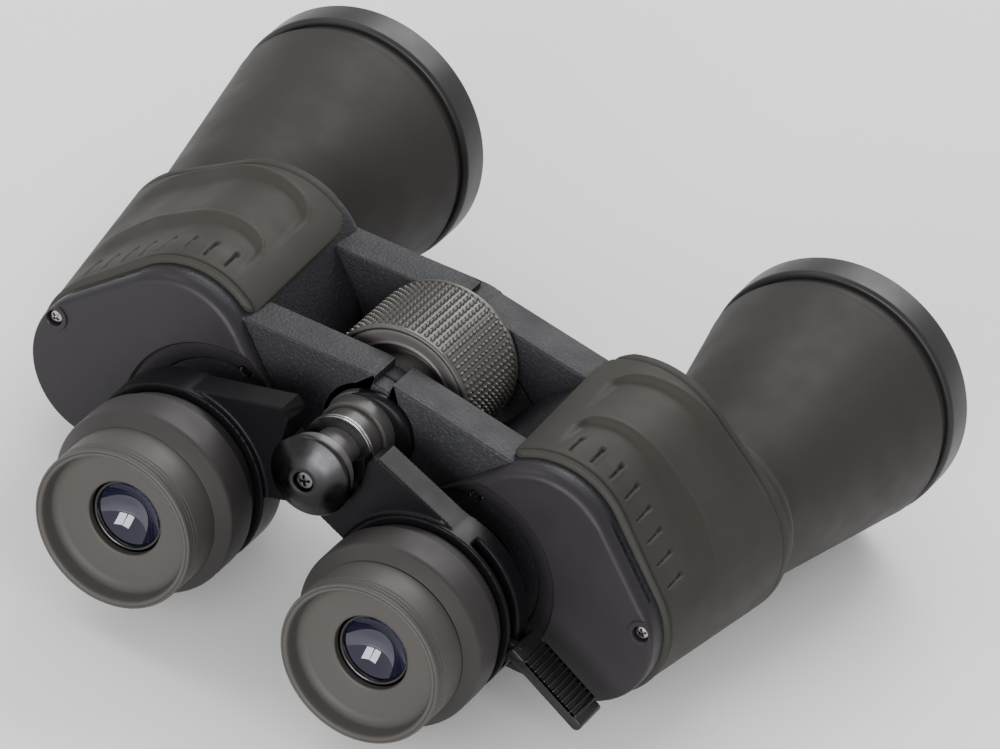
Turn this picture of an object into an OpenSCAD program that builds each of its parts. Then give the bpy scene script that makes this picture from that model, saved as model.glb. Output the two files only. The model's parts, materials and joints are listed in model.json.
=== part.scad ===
// Zoom binoculars of the Porro prism type.
// Two halves fold about a centre hinge. A wheel on the hinge moves a spindle that carries both
// eyepieces, and a lever on the right eyepiece turns a zoom ring in each eyepiece.
// +X is right, +Y runs from the eyepieces to the objectives, +Z is up.
// The origin is midway along, between the halves, level with the bottom of the objective rims.
// Inside the modules, Y is a station measured from the rear end and Z is measured from the hinge axis.

/* [Main sizes] */
// Overall length, rear of the eyecups to front of the objective rims
overall_len = 184.2; // [183:0.1:186]
// Distance between the eyepiece axes
ipd = 66.3; // [65:0.1:68]
// Depth of the eyepiece axes below the hinge axis
eye_drop = 21.4; // [21:0.1:22]
// Distance between the objective axes
objective_gap = 136.3; // [135:0.1:138]
// Depth of the objective axes below the hinge axis
objective_drop = 17.9; // [17:0.1:19]

/* [Objective barrels] */
// Radius of the objective rim
rim_r = 33; // [32.5:0.1:34]
// Length of the objective rim
rim_len = 9.8; // [9:0.1:11]
// Radius of the barrel at its rear flange
barrel_rear_r = 21; // [20:0.1:22]
// Radius of the barrel behind the rim
barrel_front_r = 32.3; // [31.5:0.1:32.4]
// Radius of the objective lens
lens_r = 29; // [28:0.1:29.1]

/* [Prism housings] */
// Station of the raised face of the cover plate
cover_face = 48.5; // [47.5:0.1:49]
// Station where the housing starts
housing_rear = 52.3; // [52:0.1:53]
// Station where the housing ends
housing_front = 106; // [105:0.5:108]
// Wall thickness of the housing
wall = 2.2; // [1.8:0.1:2.6]
// Thickness of the rubber armour at its rear edge
armour_t = 1.4; // [1:0.1:2]
// Distance of the armour's inner edge from the centre plane
armour_inner_x = 35; // [34:0.5:37]

/* [Hinge] */
// Radius of the hinge knuckles
knuckle_r = 12.4; // [12:0.1:12.8]
// Outer radius of the bridge arms round the knuckles
bridge_r = 13.8; // [13.2:0.1:14.5]
// Radius of the centre rod
rod_r = 5; // [4.5:0.1:5.2]
// Radius of the hinge axle in the front knuckles
axle_r = 7; // [6.5:0.1:7.5]
// Outer radius of the bush in the rear knuckles
bush_r = 9.5; // [9:0.1:10]
// Radius of the hole for a tripod screw
tripod_r = 3.175; // [3.1:0.005:3.25]

/* [Focus] */
// Radius of the focus wheel
wheel_r = 19; // [18:0.1:19.5]
// Radius of the sliding spindle
spindle_r = 7.8; // [7.5:0.1:8]
// Radius of the spindle's nose, where the eyepiece arms turn
nose_r = 6; // [5.8:0.1:6.5]
// Number of ribs round the focus wheel
wheel_ribs = 72; // [48:4:96]

/* [Eyepieces] */
// Outer radius of the eyecup
eyecup_r = 20.3; // [19.5:0.1:20.5]
// Radius of the big ring behind the eyecup
eye_ring_r = 23.45; // [22.5:0.05:24]
// Radius of the eyepiece tube
eye_tube_r = 17.5; // [17:0.1:17.6]
// Radius of the sliding zoom cell
cell_r = 11; // [10:0.1:11.2]
// Radius of the eye lens
eye_lens_r = 7.9; // [7:0.1:8]

/* [Zoom lever] */
// Length of the lever's finger pad
lever_len = 23; // [20:0.5:26]
// Width of the pad along the eyepiece
lever_w = 10; // [8:0.5:10]
// Tilt of the pad below the horizontal, in degrees
lever_tilt = 25; // [20:1:32]

/* [Hidden] */

$fn = 96;
eps = 0.01;
run_fit = 0.05;        // radial clearance of a shaft that turns or slides in a hole
gap = 0.3;             // clearance between pieces that move past each other

// Places in the plane across the length: [x, z], for the right half
hinge_z = rim_r + objective_drop;
eye = [ipd / 2, -eye_drop];
objective = [objective_gap / 2, -objective_drop];
hinge = [0, 0];

// The light path steps from the objective axis to the middle axis, then to the eyepiece axis
path = eye - objective;
first_step = [path.x + path.y, path.y - path.x] / 2;
middle = objective + first_step;
step_angle = atan2(first_step.y, first_step.x);

// Lobes of the housing's outline: [centre, radius]
top_rear = [[49.3, -5], 20];
side_rear = [[64.8, -19.5], 19.2];
top_front = [[50.5, -4], 22.4];
side_front = [[66.8, -18.2], 23.4];
eye_lobe_r = 19.4;
// How far the armour stands out from each pair of lobes: [side, top]
armour_grow_rear = [armour_t - 0.5, armour_t];
armour_grow_front = [1.6, 2];
taper_start = 80;

// Bridge arms: how far out and how tall they are, and the open angles between the halves
arm_reach = armour_inner_x - 0.1;
arm_top = 10.6;
arm_low = -14;
low_gap = 15;
function top_gap(side) = side < 0 ? 5.2 : 14.6;

// Stations along the length
rear_arm = [housing_rear, 63.1];
front_arm = [94.3, 105.5];
front_knuckle_end = 108;
wheel = [67.4, 93.5];
armour_span = [55, 105];
arm_span = [30.5, 38.6];
ring_span = [29, 39];
neck_span = [30.9, 33.3];
band_span = [34.2, 36.4];
band_r = 19.55;
hub_r = 13;
lever_travel = 60;
tube_step = 45.5;
shelf = [78, 80];
rim_rear = overall_len - rim_len;

prism_half = 21;
prism_w = 20;
prism_tip = 2;
screw_places = [[79.8, -12.2], [31.2, -1.5]];
screw_seats = [cover_face, 51];
screw_r = 1.2;
screw_head_r = 1.9;
boss_end = 60;
spigot_r = 17.5;

// ---- helpers ----

module in_place() translate([0, -overall_len / 2, hinge_z]) children();

module half(side) mirror([side < 0 ? 1 : 0, 0, 0]) children();

// Extrudes an outline in the X-Z plane from one station to another
module slab(from, to) translate([0, to, 0]) rotate([90, 0, 0]) linear_extrude(to - from) children();

// Turns a profile of [radius, station] points about an axis along Y
module turned(at, points) {
  translate([at.x, 0, at.y]) rotate([-90, 0, 0]) rotate_extrude() polygon(points);
}

module rod(at, from, to, r) {
  translate([at.x, from, at.y]) rotate([-90, 0, 0]) cylinder(h = to - from, r = r);
}

// The strip between two circles, out to their common tangents
module belt(a, ra, b, rb) {
  d = b - a;
  turn = atan2(d.y, d.x);
  spread = acos((ra - rb) / norm(d));
  up = [cos(turn + spread), sin(turn + spread)];
  down = [cos(turn - spread), sin(turn - spread)];
  polygon([a + ra * up, b + rb * up, b + rb * down, a + ra * down]);
}

module disc(at, r) translate(at) circle(r);

// Points on the cap of a lens of the given rim radius and bulge
function cap_points(r, station, bulge, steps = 8) =
  let (ball = (r * r + bulge * bulge) / (2 * abs(bulge)), side = bulge > 0 ? 1 : -1)
  [for (i = [0:steps])
    let (x = r * (1 - i / steps))
    [x, station + side * (sqrt(ball * ball - x * x) - (ball - abs(bulge)))]];

module lens(at, r, rear, front, rear_bulge, front_bulge) {
  back = cap_points(r, rear, -rear_bulge);
  turned(at, concat(cap_points(r, front, front_bulge), [for (i = [len(back) - 1:-1:0]) back[i]]));
}

// ---- prism housing ----

// Direction of the outward normal on the tangent from one lobe to the next, anticlockwise
function tangent_angle(a, b) =
  let (d = b[0] - a[0])
  atan2(d.y, d.x) - acos((a[1] - b[1]) / norm(d));

// Outline round lobes of [centre, radius], given anticlockwise: an arc on each, joined by tangents
function lobed(lobes, steps = 12) =
  let (n = len(lobes))
  [for (i = [0:n - 1])
    let (
      lobe = lobes[i],
      start = tangent_angle(lobes[(i + n - 1) % n], lobe),
      stop = tangent_angle(lobe, lobes[(i + 1) % n]),
      sweep = (stop - start + 720) % 360
    )
    for (k = [0:steps]) lobe[0] + lobe[1] * [cos(start + sweep * k / steps), sin(start + sweep * k / steps)]];

function grown(lobes, grow) = [for (lobe = lobes) [lobe[0], lobe[1] + grow]];

function grown_each(lobes, grow) = [for (i = [0:len(lobes) - 1]) [lobes[i][0], lobes[i][1] + grow[i]]];

module rear_outline(grow = 0) polygon(lobed(grown([[eye, eye_lobe_r], side_rear, top_rear], grow)));

// A body that tapers from three lobes at the rear, or two without the eyepiece lobe, to two at the front
module tapered(rear_lobes, front_lobes, start, end) {
  hull() {
    slab(start, start + eps) polygon(lobed(rear_lobes));
    slab(end - eps, end) polygon(lobed(front_lobes));
  }
}

module front_body(grow, start, end) {
  tapered(grown([[eye, eye_lobe_r], side_rear, top_rear], grow), grown([side_front, top_front], grow),
          start, end);
}

// The wedge between two directions, in degrees from +X towards +Z
module sector(at, from, to, reach) {
  mid = (from + to) / 2;
  translate(at) polygon([[0, 0], for (a = [from, mid, to]) reach * [cos(a), sin(a)]]);
}

module arm_outline(top) {
  difference() {
    union() {
      disc(hinge, bridge_r);
      polygon([[2, bridge_r - 0.1], [arm_reach, arm_top], [arm_reach, arm_low], [4, 0.7 - bridge_r]]);
    }
    translate([-40, -20]) square([40, 40]);
    sector(hinge, 90 - top, 100, 30);
    sector(hinge, -100, low_gap - 90, 30);
  }
}

// One bridge arm: its plate, its own knuckle, and room for the other half's knuckle
module bridge_arm(span, own, other, hole, top) {
  difference() {
    union() {
      difference() {
        slab(span[0], span[1]) arm_outline(top);
        rod(hinge, other[0] - gap, other[1] + gap, knuckle_r + gap);
      }
      rod(hinge, own[0], own[1], knuckle_r);
    }
    rod(hinge, span[0] - 5, span[1] + 5, hole);
  }
}

function knuckle(span, front_half) =
  let (mid = (span[0] + span[1]) / 2)
  front_half ? [mid + gap / 2, span[1]] : [span[0], mid - gap / 2];

// Both bridge arms of one half. The right half has the rear knuckle of the rear arm and the
// front knuckle of the front arm.
module bridge_arms(side) {
  running = side > 0 ? run_fit : 0;
  rear = [knuckle(rear_arm, false), knuckle(rear_arm, true)];
  front = [knuckle(front_arm, false), [knuckle(front_arm, true)[0], front_knuckle_end]];
  own = side > 0 ? 0 : 1;
  bridge_arm(rear_arm, rear[own], rear[1 - own], bush_r + running, top_gap(side));
  bridge_arm(front_arm, front[1 - own], front[own], axle_r + running, top_gap(side));
}

module prism_housing(side) {
  color("dimgray") in_place() half(side)
    difference() {
      union() {
        difference() {
          union() {
            slab(housing_rear, taper_start) rear_outline();
            front_body(0, taper_start, housing_front);
            bridge_arms(side);
          }
          slab(housing_rear - eps, taper_start) rear_outline(-wall);
          front_body(-wall, taper_start - eps, housing_front - wall);
        }
        for (at = screw_places) rod(at, housing_rear, boss_end, 3);
      }
      for (at = screw_places) rod(at, housing_rear - 1, boss_end + 1, screw_r);
      rod(objective, housing_front - 3 * wall, housing_front + 1, spigot_r);
    }
}

module armour(side) {
  rear = grown_each([side_rear, top_rear], armour_grow_rear);
  front = grown_each([side_front, top_front], armour_grow_front);
  color([0.28, 0.27, 0.24]) in_place() half(side)
    difference() {
      tapered(rear, front, armour_span[0], armour_span[1]);
      slab(armour_span[0] - 1, taper_start) rear_outline();
      front_body(0, taper_start, housing_front);
      translate([armour_inner_x - 100, armour_span[0] - 1, -60]) cube([100, 60, 100]);
    }
}

// One layer of the raised part of the cover, with the boss of the outer screw on it
module cover_layer(from, to, inset, recess_r) {
  slab(from, to) difference() {
    union() {
      rear_outline(-inset);
      intersection() {
        disc(screw_places[0], 4.2);
        rear_outline(-0.8);
      }
    }
    disc(eye, recess_r);
  }
}

module cover_plate(side) {
  floor_face = screw_seats[1];
  step = floor_face - 1.3;
  color([0.24, 0.24, 0.25]) in_place() half(side)
    difference() {
      union() {
        slab(floor_face, housing_rear) rear_outline();
        cover_layer(step, floor_face, 2, 24);
        cover_layer(cover_face, step, 4, 25);
      }
      rod(eye, cover_face - 1, housing_rear + 1, 13.4);
      for (i = [0:1]) {
        rod(screw_places[i], cover_face - 1, housing_rear + 1, screw_r + 0.1);
        rod(screw_places[i], cover_face - 1, screw_seats[i] + 1, screw_head_r + 0.1);
      }
    }
}

// Countersunk cross-head screw pointing along +Y
module cross_screw(at, head, length, head_r, shank_r) {
  difference() {
    turned(at, [[0, head], [head_r * 0.8, head], [head_r, head + 0.4], [head_r, head + 0.9],
                [shank_r, head + 0.9], [shank_r, head + length], [0, head + length]]);
    for (turn = [0, 90]) translate([at.x, head, at.y]) rotate([0, turn, 0])
      translate([-head_r * 0.6, -1, -0.25]) cube([head_r * 1.2, 1.5, 0.5]);
  }
}

module cover_screws(side) {
  color("silver") in_place() half(side)
    for (i = [0:1]) cross_screw(screw_places[i], screw_seats[i] + 0.1, 6, screw_head_r, screw_r);
}

// ---- objective ----

module objective_tube(side) {
  tube_t = 1.9;
  color([0.28, 0.27, 0.24]) in_place() half(side)
    turned(objective, [
      [15.5, housing_front - 6], [spigot_r, housing_front - 6], [spigot_r, housing_front],
      [barrel_rear_r, housing_front], [barrel_rear_r, housing_front + 4],
      [barrel_front_r - 0.2, rim_rear - 4.6], [barrel_front_r, rim_rear - 3.8], [31.2, rim_rear - 3.2],
      [31.2, rim_rear + 1.6], [29.2, rim_rear + 1.6], [29.2, rim_rear - 6],
      [barrel_rear_r - tube_t, housing_front + 5], [15.5, housing_front]
    ]);
}

module objective_rim(side) {
  front = overall_len;
  color([0.25, 0.24, 0.22]) in_place() half(side)
    turned(objective, [
      [31.2, rim_rear], [rim_r - 0.4, rim_rear], [rim_r, rim_rear + 0.4], [rim_r, front - 0.8],
      [rim_r - 0.8, front], [30.6, front], [29.6, front - 5.5], [28.2, front - 5.5],
      [28.2, rim_rear + 1.6], [31.2, rim_rear + 1.6]
    ]);
}

module objective_lens(side) {
  color([0.45, 0.35, 0.55, 0.5]) in_place() half(side)
    lens(objective, lens_r, rim_rear - 1.8, rim_rear + 1.2, 2, 2.4);
}

module lens_retainer(side) {
  color("black") in_place() half(side)
    turned(objective, [[27, rim_rear - 4.5], [29.2, rim_rear - 4.5], [29.2, rim_rear - 2.1],
                       [28, rim_rear - 2.1]]);
}

// ---- prisms ----

// Right-angle prism with its long face at a station, and its ridge pointing to dir
module porro_prism(at, turn, face, dir) {
  translate([at.x, face, at.y]) rotate([0, -turn, 0]) linear_extrude(prism_w, center = true)
    polygon([[-prism_half, 0], [prism_half, 0], [prism_half, dir * prism_tip],
             [prism_tip, dir * prism_half], [-prism_tip, dir * prism_half],
             [-prism_half, dir * prism_tip]]);
}

// Strap over a prism's ridge, with a leg down each side to the shelf
module clip(at, turn, face, dir) {
  reach = prism_w / 2 + 0.9;
  top = prism_half + 0.8;
  translate([at.x, face, at.y]) rotate([0, -turn, 0]) {
    translate([-1.8, dir > 0 ? prism_half : -top, -reach]) cube([3.6, 0.8, 2 * reach]);
    for (s = [-1, 1]) translate([-1.8, dir > 0 ? 0 : -top, s > 0 ? prism_w / 2 + 0.1 : -reach])
      cube([3.6, top, 0.8]);
  }
}

rear_mid = (objective + middle) / 2;
front_mid = (middle + eye) / 2;

module rear_prism(side) {
  color([0.7, 0.85, 0.85, 0.5]) in_place() half(side)
    porro_prism(rear_mid, step_angle, shelf[0], -1);
}

module front_prism(side) {
  color([0.7, 0.85, 0.85, 0.5]) in_place() half(side)
    porro_prism(front_mid, step_angle + 90, shelf[1], 1);
}

module prism_shelf(side) {
  color("silver") in_place() half(side)
    difference() {
      slab(shelf[0], shelf[1]) rear_outline(-wall);
      for (at = [objective, middle, eye]) rod(at, shelf[0] - 1, shelf[1] + 1, 9.8);
    }
}

module prism_clips(side) {
  color("darkgray") in_place() half(side) {
    clip(rear_mid, step_angle, shelf[0], -1);
    clip(front_mid, step_angle + 90, shelf[1], 1);
  }
}

// Eye for a neck strap, under the housing
lug = [30, -44.6];
lug_r = 4.4;
lug_span = [60, 62.4];

module strap_lug(side) {
  color("silver") in_place() half(side)
    difference() {
      union() {
        rod(lug, lug_span[0], lug_span[1], lug_r);
        translate([lug.x - lug_r, lug_span[0], lug.y]) cube([2 * lug_r, lug_span[1] - lug_span[0], 5]);
      }
      rod(lug, lug_span[0] - 1, lug_span[1] + 1, lug_r / 2);
      slab(lug_span[0] - 5, lug_span[1] + 5) rear_outline();
    }
}

// ---- hinge ----

axle_tip = front_knuckle_end + 3;
socket_r = 5;
socket_deep = 7;

module hinge_axle() {
  floor_face = axle_tip - socket_deep - 0.5;
  color("silver") in_place()
    turned(hinge, [
      [0, rear_arm[0] + 4], [rod_r - 0.8, rear_arm[0] + 4], [rod_r, rear_arm[0] + 4.8],
      [rod_r, front_arm[0]], [axle_r, front_arm[0]], [axle_r, front_knuckle_end + gap],
      [10.5, front_knuckle_end + gap], [10.5, axle_tip - 1], [9.5, axle_tip], [socket_r, axle_tip],
      [socket_r, floor_face], [0, floor_face]
    ]);
}

module tripod_bush() {
  color("goldenrod") in_place()
    turned(hinge, [[tripod_r, axle_tip - socket_deep], [socket_r, axle_tip - socket_deep],
                   [socket_r, axle_tip], [tripod_r, axle_tip]]);
}

// Bush in the rear knuckles, with a boss that flares from the spindle to the knuckles' rear face
module rear_hinge_bush() {
  bore = spindle_r + run_fit;
  boss_rear = rear_arm[0] - 6.5;
  flange = rear_arm[0] - gap;
  flare = 3.7;
  steps = 8;
  color([0.35, 0.35, 0.36]) in_place()
    turned(hinge, concat(
      [[bore, rear_arm[1] + 0.4], [bore, boss_rear]],
      [for (i = [0:steps]) [bore + 0.6 + flare * (1 - cos(90 * i / steps)),
                            boss_rear + (flange - boss_rear) * sin(90 * i / steps)]],
      [[bush_r, flange], [bush_r, rear_arm[1] + 0.4]]
    ));
}

// ---- focus ----

module focus_wheel_hub() {
  bore = spindle_r + run_fit;
  color([0.16, 0.15, 0.14]) in_place()
    turned(hinge, [
      [bore, rear_arm[1] + 0.8], [10, rear_arm[1] + 0.8], [10, wheel[0] + 2.5], [14.8, wheel[0] + 1],
      [15.6, wheel[0]], [16.6, wheel[0]], [16.6, wheel[1]], [12, wheel[1]], [12, front_arm[0] - 0.3],
      [bore, front_arm[0] - 0.3]
    ]);
}

module focus_wheel_grip() {
  rib = 360 / wheel_ribs;
  color([0.22, 0.2, 0.18]) in_place()
    slab(wheel[0] + 0.4, wheel[1] - 0.4) difference() {
      polygon([for (i = [0:wheel_ribs - 1]) for (k = [[0.1, -0.7], [0.3, 0], [0.7, 0], [0.9, -0.7]])
        (wheel_r + k[1]) * [cos((i + k[0]) * rib), sin((i + k[0]) * rib)]]);
      circle(16.6);
    }
}

spindle_rear = arm_span[0] - 3.8;

module focus_spindle() {
  thread_start = wheel[0];
  grooves = 8;
  pitch = 2.4;
  color("dimgray") in_place()
    difference() {
      turned(hinge, [
        [rod_r + run_fit, spindle_rear], [nose_r, spindle_rear], [nose_r, arm_span[1] + 2],
        [spindle_r, arm_span[1] + 2], [spindle_r, wheel[1] - 7], [rod_r + run_fit, wheel[1] - 7]
      ]);
      for (i = [0:grooves - 1])
        turned(hinge, [for (p = [[-0.3, 0.6], [0, 0], [0, 1.2]])
          [spindle_r + 0.1 + (p[0] < 0 ? -0.6 : 0), thread_start + i * pitch + p[1]]]);
    }
}

module spindle_sleeve() {
  color([0.2, 0.2, 0.2]) in_place()
    turned(hinge, [[nose_r, spindle_rear], [8.6, spindle_rear], [9, spindle_rear + 0.4],
                   [9, arm_span[0] - gap], [nose_r, arm_span[0] - gap]]);
}

module spindle_cap() {
  base = spindle_rear;
  color([0.35, 0.35, 0.36]) in_place()
    difference() {
      turned(hinge, [[0, base - 4.7], [3.3, base - 4.7], [3.8, base - 4.4], [10.2, base - 1.2], [10.2, base],
                     [0, base]]);
      rod(hinge, base - 5, base + 1, 1.6);
      rod(hinge, base - 5, base - 4, 2.6);
    }
}

module cap_screw() {
  color("silver") in_place() cross_screw(hinge, spindle_rear - 4.9, 4.8, 2.4, 1.5);
}

module hub_washers() {
  thick = 0.6;
  pitch = thick + gap;
  color("silver") in_place()
    for (i = [0:1]) difference() {
      rod(hinge, arm_span[1] + gap + i * pitch, arm_span[1] + gap + i * pitch + thick, 8.5);
      rod(hinge, arm_span[1], arm_span[1] + 3, nose_r);
    }
}

// ---- eyepieces ----

// Steel band that runs along the arm and round the upper side of the zoom ring
module band_path(grow) {
  along = hinge - eye;
  lean = asin((band_r - 10.3) / norm(along));
  translate(eye) rotate(atan2(along.y, along.x) + lean) {
    translate([0, -band_r - 0.2 - grow]) square([29.5, 0.4 + 2 * grow]);
    difference() {
      circle(band_r + 0.2 + grow);
      circle(band_r - 0.2 - grow);
      translate([0, -40]) square([80, 80]);
      translate([-40, 0]) square([80, 80]);
    }
  }
}

module arm_plate() {
  difference() {
    union() {
      disc(hinge, hub_r);
      intersection() {
        belt(hinge, hub_r, eye, 22.8);
        polygon([[4, -hub_r], [11, -15.6], eye, [60, 0], [60, 40], [-20, 40], [-20, -hub_r]]);
      }
    }
    translate([-30, -40]) square([33.5, 80]);
    translate([0, 0]) square([10.5, 40]);
  }
}

module eyepiece_arm(side) {
  arm_knuckle_r = 9.4;
  knuckles = [[34.7, arm_span[1]], [arm_span[0], 34.4]];
  own = knuckles[side < 0 ? 1 : 0];
  other = knuckles[side < 0 ? 0 : 1];
  color([0.2, 0.2, 0.21]) in_place() half(side)
    difference() {
      union() {
        difference() {
          slab(arm_span[0], arm_span[1]) arm_plate();
          rod(hinge, other[0] - gap, other[1] + gap, arm_knuckle_r + gap);
        }
        rod(hinge, own[0], own[1], arm_knuckle_r);
        rod(eye, ring_span[0], ring_span[1], 23.4);
      }
      rod(hinge, 20, 50, nose_r + run_fit);
      rod(eye, ring_span[0] - 1, 36.8, 20.1);
      rod(eye, 30, 50, eye_tube_r);
      slab(band_span[0] - gap, band_span[1] + gap) band_path(0.3);
      if (side > 0) slab(neck_span[0] - 0.5, neck_span[1] + 0.5) difference() {
        sector(eye, -14, lever_travel + 12, 40);
        disc(eye, 15);
      }
    }
}

module eyepiece_tube(side) {
  color([0.1, 0.1, 0.1]) in_place() half(side)
    turned(eye, [
      [cell_r + run_fit, 16], [12.5, 12], [eye_tube_r, 12], [eye_tube_r, tube_step], [13, tube_step],
      [13, 64], [cell_r + run_fit, 64]
    ]);
}

module eye_ring(side) {
  bore = eye_tube_r + (side > 0 ? run_fit : 0);
  rear = side > 0 ? 12 + gap : 12;
  color([0.25, 0.24, 0.22]) in_place() half(side)
    turned(eye, [
      [bore, rear], [20.6, rear], [eye_ring_r, 14.8], [eye_ring_r, 24.2], [22.6, 25],
      [21.6, 28.4], [bore, 28.4]
    ]);
}

module eyecup(side) {
  color([0.27, 0.26, 0.22]) in_place() half(side)
    turned(eye, [
      [18.9, 0], [19.8, 0], [eyecup_r, 0.6], [eyecup_r, 12], [12.6, 12], [12.6, 9], [9.35, 8],
      [9.35, 6], [17.6, 4.6], [18.4, 0.4]
    ]);
}

module eye_bezel(side) {
  color("black") in_place() half(side)
    turned(eye, [[8, 9.4], [9.1, 9.4], [9.1, 15.6], [cell_r, 16.2], [cell_r, 19.5], [7, 19.5],
                 [7, 14], [8, 14]]);
}

module eye_lens(side) {
  color([0.2, 0.2, 0.5, 0.6]) in_place() half(side)
    lens(eye, eye_lens_r, 12.4, 14, 1.6, 0.01);
}

module field_lens(side) {
  color([0.5, 0.6, 0.7, 0.5]) in_place() half(side) lens(eye, cell_r, 58, 60, 0.8, 2);
}

module zoom_band(side) {
  color("silver") in_place() half(side) slab(band_span[0], band_span[1]) band_path(0);
}

module zoom_ring(side) {
  color([0.12, 0.12, 0.12]) in_place() half(side) {
    turned(eye, [[eye_tube_r + run_fit, 29.3], [19.2, 29.3], [19.2, 36.5], [eye_tube_r + run_fit, 36.5]]);
    if (side > 0) {
      difference() {
        translate([eye.x + 18, neck_span[0], eye.y - 2.2]) cube([8, neck_span[1] - neck_span[0], 4.6]);
        rod(eye, 30, 36, 19);
      }
      lever_pad();
    }
  }
}

// Finger pad of the zoom lever, with ribs across its upper face
module lever_pad() {
  ribs = 12;
  pad_t = 2.6;
  translate([eye.x + 24.4, ring_span[0], eye.y + 2.8]) rotate([0, lever_tilt, 0]) {
    difference() {
      translate([0, 0, -pad_t]) cube([lever_len, lever_w, pad_t]);
      translate([-eps, -eps, -10 - pad_t + 0.4]) cube([3, lever_w + 1, 10]);
    }
    for (i = [0:ribs - 1]) translate([5 + i * 1.5, 0.6, 0]) cube([0.8, lever_w - 1.2, 0.5]);
  }
}

module zoom_cell(side) {
  color([0.15, 0.15, 0.15]) in_place() half(side) {
    difference() {
      rod(eye, 34, 42, cell_r);
      rod(eye, 33, 43, 8.5);
    }
    lens(eye, 8.5, 36.5, 38.5, 1.4, 1.4);
  }
}

prism_housing(-1);  // left_prism_housing
armour(-1);  // left_armour
cover_plate(-1);  // left_cover_plate
cover_screws(-1);  // left_cover_screws
objective_tube(-1);  // left_objective_tube
objective_rim(-1);  // left_objective_rim
objective_lens(-1);  // left_objective_lens
lens_retainer(-1);  // left_lens_retainer
rear_prism(-1);  // left_rear_prism
front_prism(-1);  // left_front_prism
prism_shelf(-1);  // left_prism_shelf
prism_clips(-1);  // left_prism_clips
strap_lug(-1);  // left_strap_lug
prism_housing(1);  // right_prism_housing
armour(1);  // right_armour
cover_plate(1);  // right_cover_plate
cover_screws(1);  // right_cover_screws
objective_tube(1);  // right_objective_tube
objective_rim(1);  // right_objective_rim
objective_lens(1);  // right_objective_lens
lens_retainer(1);  // right_lens_retainer
rear_prism(1);  // right_rear_prism
front_prism(1);  // right_front_prism
prism_shelf(1);  // right_prism_shelf
prism_clips(1);  // right_prism_clips
strap_lug(1);  // right_strap_lug
hinge_axle();
tripod_bush();
rear_hinge_bush();
focus_wheel_hub();
focus_wheel_grip();
focus_spindle();
spindle_sleeve();
spindle_cap();
cap_screw();
hub_washers();
eyepiece_arm(-1);  // left_eyepiece_arm
eyepiece_tube(-1);  // left_eyepiece_tube
eye_ring(-1);  // left_eye_ring
eyecup(-1);  // left_eyecup
eye_bezel(-1);  // left_eye_bezel
eye_lens(-1);  // left_eye_lens
field_lens(-1);  // left_field_lens
zoom_band(-1);  // left_zoom_band
zoom_ring(-1);  // left_zoom_ring
zoom_cell(-1);  // left_zoom_cell
eyepiece_arm(1);  // right_eyepiece_arm
eyepiece_tube(1);  // right_eyepiece_tube
eye_ring(1);  // diopter_ring
eyecup(1);  // right_eyecup
eye_bezel(1);  // right_eye_bezel
eye_lens(1);  // right_eye_lens
field_lens(1);  // right_field_lens
zoom_band(1);  // right_zoom_band
zoom_ring(1);  // right_zoom_ring
zoom_cell(1);  // right_zoom_cell
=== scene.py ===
import json
import math

import bmesh
import bpy
import numpy as np
from mathutils import Matrix, Vector


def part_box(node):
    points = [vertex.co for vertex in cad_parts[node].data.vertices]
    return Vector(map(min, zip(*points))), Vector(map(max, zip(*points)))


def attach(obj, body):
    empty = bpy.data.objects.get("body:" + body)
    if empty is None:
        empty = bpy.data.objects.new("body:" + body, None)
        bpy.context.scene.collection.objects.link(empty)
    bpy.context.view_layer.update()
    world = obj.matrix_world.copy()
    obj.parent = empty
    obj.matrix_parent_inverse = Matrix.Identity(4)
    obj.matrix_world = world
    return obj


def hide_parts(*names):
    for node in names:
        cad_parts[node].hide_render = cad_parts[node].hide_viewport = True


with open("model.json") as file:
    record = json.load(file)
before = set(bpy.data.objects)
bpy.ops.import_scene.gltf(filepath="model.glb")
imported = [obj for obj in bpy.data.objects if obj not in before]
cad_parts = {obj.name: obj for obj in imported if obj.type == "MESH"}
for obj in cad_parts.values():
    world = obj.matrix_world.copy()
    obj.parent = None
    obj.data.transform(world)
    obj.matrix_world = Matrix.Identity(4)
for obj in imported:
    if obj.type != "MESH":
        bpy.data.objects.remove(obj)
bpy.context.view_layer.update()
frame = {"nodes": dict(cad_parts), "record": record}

# Shapes are drawn in millimetres as [x, station, z], for the right half: x from the centre plane,
# station from the rear of the eyecups, and z from the hinge axis. place() takes them to the row frame.
MM = 0.001
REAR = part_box("right_eyecup")[0].y
HINGE_Z = (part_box("focus_wheel_grip")[0].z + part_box("focus_wheel_grip")[1].z) / 2


def axis_of(node):
    low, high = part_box(node)
    return np.array([(low.x + high.x) / 2, (low.z + high.z) / 2 - HINGE_Z]) / MM


def span_of(node):
    low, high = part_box(node)
    return (low.y - REAR) / MM, (high.y - REAR) / MM


EYE = axis_of("right_eyecup")
OBJECTIVE = axis_of("right_objective_rim")
HINGE = np.zeros(2)
SIDES = {"left": -1, "right": 1}

# Lobes of the housing's outline, as in the CAD: centre, radius
EYE_LOBE = (EYE, 19.4)
SIDE_REAR = (np.array([64.8, -19.5]), 19.2)
TOP_REAR = (np.array([49.3, -5.0]), 20.0)
SIDE_FRONT = (np.array([66.8, -18.2]), 23.4)
TOP_FRONT = (np.array([50.5, -4.0]), 22.4)
COVER_FACE, RECESS_FLOOR, HOUSING_REAR, TAPER, HOUSING_FRONT = 48.5, 51.6, 52.3, 80.0, 106.0
OUTER_SCREW, INNER_SCREW = np.array([79.8, -12.2]), np.array([31.2, -1.5])


# ---- mesh tools ----

SHARP_ANGLE = 38


def place(points, side):
    """Points in metres in the row frame, mirrored for the left half."""
    points = np.asarray(points, float)
    return np.column_stack([points[:, 0] * side * MM, REAR + points[:, 1] * MM, HINGE_Z + points[:, 2] * MM])


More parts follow.
